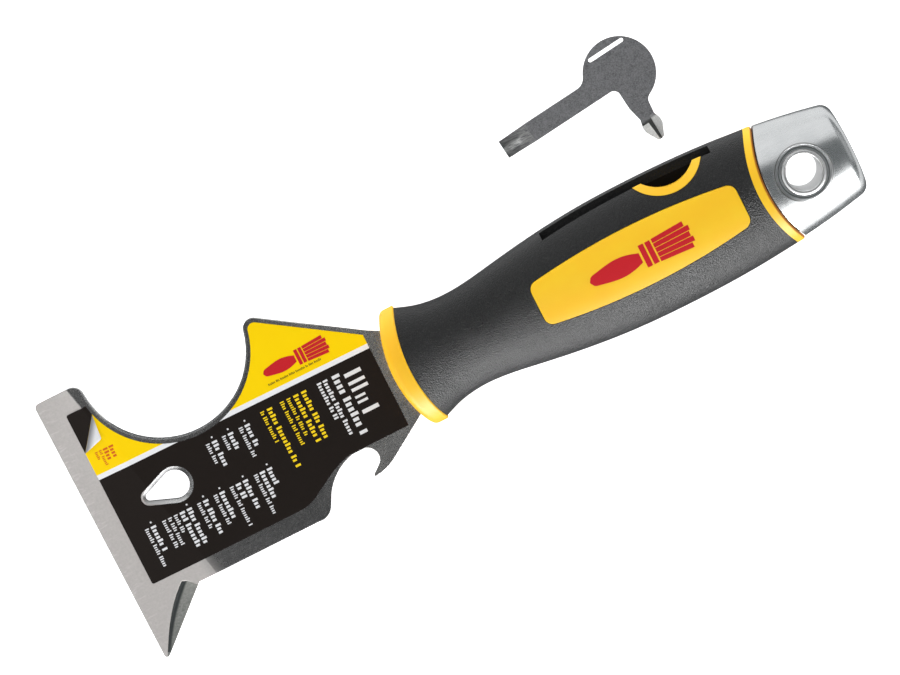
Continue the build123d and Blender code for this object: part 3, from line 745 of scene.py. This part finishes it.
def bit_steel():
    """Dark blasted steel with ground driver tips."""
    s = Shader("bit_steel")
    place = s.mm()
    x, y, _ = s.split(place)
    cosine, sine = math.cos(BIT_TILT), math.sin(BIT_TILT)
    along = s.line(x, y, cosine, sine, -BIT_CENTRE[0] * cosine - BIT_CENTRE[1] * sine)
    across = s.line(x, y, -sine, cosine, BIT_CENTRE[0] * sine - BIT_CENTRE[1] * cosine)
    flat_tip = s.ramp(along, *FLAT_TIP, smooth=True)
    cross_tip = s.ramp(across, *CROSS_TIP, smooth=True)
    tip = s.math("MAXIMUM", flat_tip, cross_tip)
    blast = s.noise(place, 2.6, 4, 0.75)
    mottle = s.noise(place, 0.5, 3, 0.6)
    marks = s.noise(place, 1.0, 3, 0.65, stretch=(0.4, 3.2, 3.2))

    dark = s.mix_colour(s.ramp(blast, 0.35, 0.65), (0.13, 0.13, 0.135), (0.30, 0.30, 0.31))
    dark = s.mix_colour(s.ramp(mottle, 0.4, 0.7, 0, 0.35), dark, (0.36, 0.36, 0.365))
    ground = s.mix_colour(s.ramp(marks, 0.35, 0.65), (0.10, 0.10, 0.105), (0.26, 0.26, 0.255))
    off_middle = s.math("ABSOLUTE", s.math("SUBTRACT", across, STREAK_MIDDLE))
    streak = s.product(s.ramp(off_middle, *STREAK_ACROSS, smooth=True),
                       s.ramp(along, *STREAK_ALONG, smooth=True), s.ramp(marks, 0.35, 0.6))
    ground = s.mix_colour(streak, ground, (0.66, 0.66, 0.65))
    # Cross tip flutes: pale ground steel made paler still as painted highlight; the rib, whose
    # faces look straight out along Z, gets painted shade.
    flutes = s.mix_colour(s.ramp(blast, 0.3, 0.7), (0.72, 0.71, 0.69), (0.95, 0.94, 0.92))
    _, _, normal_z = s.split(s.true_normal())
    rib_shade = s.ramp(s.math("ABSOLUTE", normal_z), *RIB_LEAN)
    flutes = s.mix_colour(rib_shade, flutes, (0.13, 0.13, 0.125))

    s.set("Base Color", s.mix_colour(cross_tip, s.mix_colour(flat_tip, dark, ground), flutes))
    s.set("Metallic", 1.0)
    blast_rough = s.ramp(blast, 0.2, 0.8, 0.50, 0.62)
    ground_rough = s.ramp(marks, 0.2, 0.8, 0.34, 0.46)
    s.set("Roughness", s.mix(tip, blast_rough, ground_rough))
    s.set("Normal", s.bump(s.mix(tip, blast, marks), 0.35, 0.06, s.soft_edges(0.18)))
    return s.material


# ---------------------------------------------------------------- draped print

# Print is dropped onto the faces from this far out. Off their rims it clings to what is nearest
# at the height of the handle's face.
RAY_START_Z = 50
HANDLE_FACE_Z = 13


class Surface:
    """Face of a CAD node that print lies on, seen from the front (side 1) or back (side -1)."""

    def __init__(self, node_name, side=1):
        mesh = nodes[node_name].data
        corners = [vertex.co for vertex in mesh.vertices]
        self.tree = BVHTree.FromPolygons(corners, [face.vertices for face in mesh.polygons])
        self.side = side

    def at(self, x, y, lift):
        """Point on the surface above a place, lifted off it. The point is in metres."""
        start = Vector((x, y, self.side * RAY_START_Z)) * MM
        hit = self.tree.ray_cast(start, Vector((0, 0, -self.side)))[0]
        if hit is None:
            near = Vector((x, y, self.side * HANDLE_FACE_Z)) * MM
            hit = self.tree.find_nearest(near)[0]
        return hit + Vector((0, 0, self.side * lift * MM))


class Sheet:
    """One mesh of thin closed patches laid on a surface."""

    INK_TOP = 0.045
    INK_LOW = -0.03

    def __init__(self, surface):
        self.surface = surface
        self.points = []
        self.faces = []

    def shell(self, layers):
        """Closed skin through two layers, upper first, of rows of (x, y, lift)."""
        start = len(self.points)
        rows, count = len(layers[0]), len(layers[0][0])
        for layer in layers:
            self.points += [self.surface.at(*spot) for row in layer for spot in row]
        deep = rows * count
        for r in range(rows - 1):
            for k in range(count - 1):
                a = start + r * count + k
                quad = (a, a + 1, a + count + 1, a + count)
                self.faces.append(quad)
                self.faces.append(tuple(reversed([v + deep for v in quad])))
        rim = [start + k for k in range(count)]
        rim += [start + r * count + count - 1 for r in range(1, rows)]
        rim += [start + deep - count + k for k in range(count - 2, -1, -1)]
        rim += [start + r * count for r in range(rows - 2, 0, -1)]
        for a, b in zip(rim, rim[1:] + rim[:1]):
            self.faces.append((a, a + deep, b + deep, b))

    def patch(self, rows):
        """Closed thin patch of ink through rows of places. All rows have the same length."""
        self.shell([[[(x, y, lift) for x, y in row] for row in rows]
                    for lift in (self.INK_TOP, self.INK_LOW)])

    def block(self, corner, side, up):
        """Flat block from a corner along two edges."""
        self.patch([[corner, corner + up], [corner + side, corner + side + up]])

    def profile(self, x_list, low, high, columns=6):
        """Patch between two curves low(x) and high(x)."""
        rows = []
        for x in x_list:
            y_low, y_high = low(x), high(x)
            steps = range(columns + 1)
            rows.append([(x, y_low + (y_high - y_low) * k / columns) for k in steps])
        self.patch(rows)

    def finish(self, name, material, slot_name, body="tool"):
        mesh = bpy.data.meshes.new(name)
        mesh.from_pydata([tuple(p) for p in self.points], [], self.faces)
        mesh.validate()
        mesh.update()
        work = bmesh.new()
        work.from_mesh(mesh)
        bmesh.ops.recalc_face_normals(work, faces=work.faces)
        work.to_mesh(mesh)
        work.free()
        mesh.materials.append(material)
        piece = bpy.data.objects.new(name, mesh)
        link(piece)
        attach(piece, body)
        return piece


# Text is replaced by rows of letter-sized blocks in word groups. Gaps, block widths and the
# height of low blocks are shares of the row's height.
WORD_LETTERS = (4, 6, 3, 7, 5, 8, 2)
LETTER_GAP = 0.25
WORD_GAP = 0.40
LOW_LETTER = 0.74
BOLD_WEIGHT = 0.42
LIGHT_WEIGHT = 0.30
BOLD = 1.5
LIGHT = 1.12
BULLET_SIZE = 0.3
READING = Vector((0, -1))


def print_row(sheet, start, along, height, length, turn, weight):
    """One row from the foot of its first block. Blocks stand to the left of its direction.

    The turn picks the word that it starts with."""
    up = Vector((-along.y, along.x))
    width = weight * height
    reach = 0.0
    word = turn
    while reach + width <= length:
        for letter in range(WORD_LETTERS[word % len(WORD_LETTERS)]):
            if reach + width > length:
                break
            tall = letter == 0 or (3 * letter + word) % 5 == 0
            rise_by = height * (1 if tall else LOW_LETTER)
            sheet.block(Vector(start) + along * reach, along * width, up * rise_by)
            reach += width + LETTER_GAP * height
        reach += WORD_GAP * height
        word += 1


def print_block(sheet, x_top, y_from, leading, rows, turn=0, bullet=False):
    """Rows of (height, length, weight) below each other, towards -X, that start at one Y."""
    if bullet:
        dot = BULLET_SIZE * rows[0][0]
        corner = Vector((x_top - 2.4 * dot, y_from + 3 * dot))
        sheet.block(corner, READING * dot, Vector((dot, 0)))
    foot = x_top
    for k, (height, length, weight) in enumerate(rows):
        foot -= height
        print_row(sheet, (foot, y_from), READING, height, length, turn + 2 * k, weight)
        foot -= leading


def bold_rows(*lengths):
    return tuple((BOLD, length, BOLD_WEIGHT) for length in lengths)


def light_rows(*lengths):
    return tuple((LIGHT, length, LIGHT_WEIGHT) for length in lengths)


# Heading bars: y of the start, width, share of the full height.
HEADING_BARS = ((6.2, 1.1, 1.0), (3.7, 0.9, 1.0), (1.8, 0.9, 1.0), (-0.4, 0.7, 0.62),
                (-1.9, 0.7, 0.62), (-4.5, 1.1, 1.0))
HEADING_Y = 7.2
HEADING_FOOT_X = -133.2
HEADING_HEIGHT = 4.8
# Blocks of rows: x of the top, y of the start, gap between rows, rows, turn.
HEADING_BLOCKS = (
    (-134.2, HEADING_Y, 1.3, ((2.2, 18.3, BOLD_WEIGHT),), 0),
    (-137.7, HEADING_Y, 0.45, ((1.35, 16.2, BOLD_WEIGHT), (1.25, 10.9, BOLD_WEIGHT)), 3),
)
CLAIM_BLOCKS = (
    (-144.0, HEADING_Y, 0.85, bold_rows(14.2, 14.8) + light_rows(11.4, 12.9), 1),
    (-154.2, HEADING_Y, 0.85, bold_rows(17.6) + light_rows(9.6), 4),
)
PEEL_NOTE = (-196.6, 17.4, 0.35, ((1.35, 4.0, BOLD_WEIGHT), (1.35, 4.3, BOLD_WEIGHT),
                                  (0.85, 4.4, LIGHT_WEIGHT), (0.85, 2.6, LIGHT_WEIGHT)), 5)
# Feature list: x of the top, y of the start, lengths of the bold rows and of the light rows.
HIGH_COLUMN_Y = 6.0
LOW_COLUMN_Y = -7.1
FEATURE_LEADING = 0.62
FEATURE_ITEMS = (
    (-161.5, HIGH_COLUMN_Y, (6.9,), (9.2,)),
    (-166.5, HIGH_COLUMN_Y, (5.4,), (4.3,)),
    (-171.3, HIGH_COLUMN_Y, (8.2,), (6.2,)),
    (-161.5, LOW_COLUMN_Y, (5.4, 8.2), (11.6,)),
    (-168.7, LOW_COLUMN_Y, (9.1, 4.9), (12.1,)),
    (-175.7, LOW_COLUMN_Y, (9.1,), (9.2,)),
    (-180.6, LOW_COLUMN_Y, (10.3,), (7.6,)),
    (-185.5, LOW_COLUMN_Y, (10.3, 10.9), (5.2, 8.2, 8.6)),
    (-196.3, LOW_COLUMN_Y, (7.6,), (11.1,)),
)
# Line under the brush mark: start, height, length.
MARK_LINE = ((-152.3, 12.45), 0.62, 15.6)
# Brush marks: middle, length, height.
LABEL_MARK = (-142.7, 15.9, 19.0, 5.4)
FRONT_MARK = (-48.5, -0.6, 29.8, 8.0)
BACK_MARK = (-48.5, 0.0, 29.8, 8.0)


def label_print():
    surface = Surface("blade_label")
    white, yellow, orange, red, dark = (Sheet(surface) for _ in range(5))
    for y_from, width, share in HEADING_BARS:
        bar = Vector((HEADING_HEIGHT * share, 0))
        white.block(Vector((HEADING_FOOT_X, y_from)), READING * width, bar)
    for block in HEADING_BLOCKS:
        print_block(white, *block)
    for turn, (x_top, y_from, bold, light) in enumerate(FEATURE_ITEMS):
        rows = bold_rows(*bold) + light_rows(*light)
        print_block(white, x_top, y_from, FEATURE_LEADING, rows, turn, bullet=True)
    for block in CLAIM_BLOCKS:
        print_block(yellow, *block)
    print_block(orange, *PEEL_NOTE)
    brush_mark(red, *LABEL_MARK)
    start, height, length = MARK_LINE
    print_row(dark, start, Vector((1, 0)), height, length, 1, LIGHT_WEIGHT)
    for sheet, colour, low, high in (
        (white, "white", (214, 214, 216), (238, 238, 240)),
        (yellow, "yellow", (246, 206, 10), (255, 220, 30)),
        (orange, "orange", (206, 88, 16), (222, 104, 24)),
        (red, "red", (192, 22, 32), (208, 34, 44)),
        (dark, "dark", (60, 44, 16), (80, 60, 22)),
    ):
        material = ink("ink_" + colour, rgb(*low), rgb(*high))
        sheet.finish("label_print_" + colour, material, "label_film")


# Brush pictogram, in shares of its length (along) and height (across).
HANDLE_END = 0.50
HANDLE_THIN = 0.17
HANDLE_SWELL = 0.16
HANDLE_ROUNDING = 0.10
HANDLE_LEAST = 0.12
FERRULE_BANDS = ((0.52, 0.57), (0.585, 0.635))
FERRULE_HALF = 0.40
BRISTLE_START = 0.65
BRISTLE_TIPS = (0.97, 1.0, 0.985, 1.0, 0.965)
BRISTLE_HALF = 0.44
BRISTLE_ROOT = 0.84


def brush_mark(sheet, x_middle, y_middle, length, height):
    """Plain paint brush pictogram, handle towards -X and bristles towards +X."""
    def at(share):
        return x_middle + length * (share - 0.5)

    def stations(a, b, count):
        return [at(a + (b - a) * k / count) for k in range(count + 1)]

    def handle(side):
        def curve(x):
            t = (x - at(0)) / (at(HANDLE_END) - at(0))
            swell = HANDLE_THIN + HANDLE_SWELL * math.sin(math.pi * min(max(t, 0), 1) ** 1.3)
            end = math.sqrt(max(0.0, 1 - max(0.0, 1 - t / HANDLE_ROUNDING) ** 2))
            return y_middle + side * height * swell * max(end, HANDLE_LEAST)
        return curve

    def ferrule(side):
        return lambda x: y_middle + side * height * FERRULE_HALF

    def bristle(offset):
        def curve(x):
            share = (x - at(BRISTLE_START)) / (at(1) - at(BRISTLE_START))
            return y_middle + height * (BRISTLE_ROOT + (1 - BRISTLE_ROOT) * share) * offset
        return curve

    sheet.profile(stations(0, HANDLE_END, 24), handle(-1), handle(1))
    for a, b in FERRULE_BANDS:
        sheet.profile(stations(a, b, 3), ferrule(-1), ferrule(1))
    strands = len(BRISTLE_TIPS)
    for k, tip in enumerate(BRISTLE_TIPS):
        centre = (k - (strands - 1) / 2) / strands
        half = BRISTLE_HALF / strands
        edges = bristle(centre - half), bristle(centre + half)
        sheet.profile(stations(BRISTLE_START, tip, 10), *edges, columns=3)


def badge_marks():
    red = ink("ink_badge_red", rgb(192, 26, 36), rgb(208, 36, 46))
    for name, side, mark in (("front", 1, FRONT_MARK), ("back", -1, BACK_MARK)):
        sheet = Sheet(Surface(name + "_badge", side))
        brush_mark(sheet, *mark)
        sheet.finish("badge_mark_" + name, red, "badge_yellow")


# Turned-up corner: its free edge swings from PEEL_LOW past FLAP_PULL to FLAP_CORNER, which it
# reaches at this share of the fold, and then runs straight to PEEL_HIGH.
FLAP_PULL = (-201.4, 19.2)
FLAP_CORNER = (-198.6, 20.0)
FLAP_BEND = 0.6
FLAP_GRID = (18, 8)
FLAP_THICKNESS = 0.05
FLAP_LIFT = 0.10
FLAP_CURL = 0.55
FLAP_CURL_TURN = 0.62


def peel_flap():
    """Corner of the film folded over, standing a little off the label."""
    low, high, pull, corner = map(Vector, (PEEL_LOW, PEEL_HIGH, FLAP_PULL, FLAP_CORNER))
    along_count, out_count = FLAP_GRID
    layers = ([], [])
    for i in range(along_count + 1):
        t = i / along_count
        fold = low.lerp(high, t)
        if t < FLAP_BEND:
            u = t / FLAP_BEND
            free = low * (1 - u) ** 2 + pull * 2 * u * (1 - u) + corner * u**2
        else:
            free = corner.lerp(high, (t - FLAP_BEND) / (1 - FLAP_BEND))
        row = []
        for j in range(out_count + 1):
            v = j / out_count
            curl = math.sin(math.pi * t) * math.sin(v * math.pi * FLAP_CURL_TURN)
            row.append((*fold.lerp(free, v), FLAP_LIFT + FLAP_CURL * curl))
        layers[0].append(row)
        layers[1].append([(x, y, lift - FLAP_THICKNESS) for x, y, lift in row])
    sheet = Sheet(Surface("blade_label"))
    sheet.shell(layers)
    smooth(sheet.finish("label_flap", flap_film(), "label_film").data)


# ---------------------------------------------------------------- assembly

def dress(material, *node_names):
    """Give CAD nodes their finished material."""
    for node_name in node_names:
        data = nodes[node_name].data
        data.materials.clear()
        data.materials.append(material)


def dress_nodes():
    dress(moulded_yellow("moulded_yellow", rgb(255, 192, 10), rgb(255, 201, 16),
                         rgb(255, 208, 40)), "front_collar", "scallop_rim")
    dress(moulded_yellow("ring_yellow", rgb(255, 197, 14), rgb(255, 206, 22),
                         rgb(255, 213, 46), end_shade=True), "rear_ring")
    dress(moulded_yellow("badge_yellow", rgb(255, 196, 4), rgb(255, 204, 8),
                         rgb(255, 212, 34)), "front_badge", "back_badge")
    dress(core_black(), "core_front", "core_back")
    dress(rolled_steel(), "hang_eyelet", "eyelet_washer")
    dress(spacer_grey(), "cap_spacer_front", "cap_spacer_back")
    dress(blade_steel(), "blade")
    dress(label_film(), "blade_label")
    dress(plain_steel(), "tang_rivets")
    dress(soft_black(), "soft_grip")
    dress(cap_steel(), "end_cap")
    dress(bit_steel(), "driver_bit")


bpy.context.scene.view_settings.view_transform = "Standard"
make_camera()
make_world()
make_floor()
make_lights()
dress_nodes()
label_print()
badge_marks()
peel_flap()
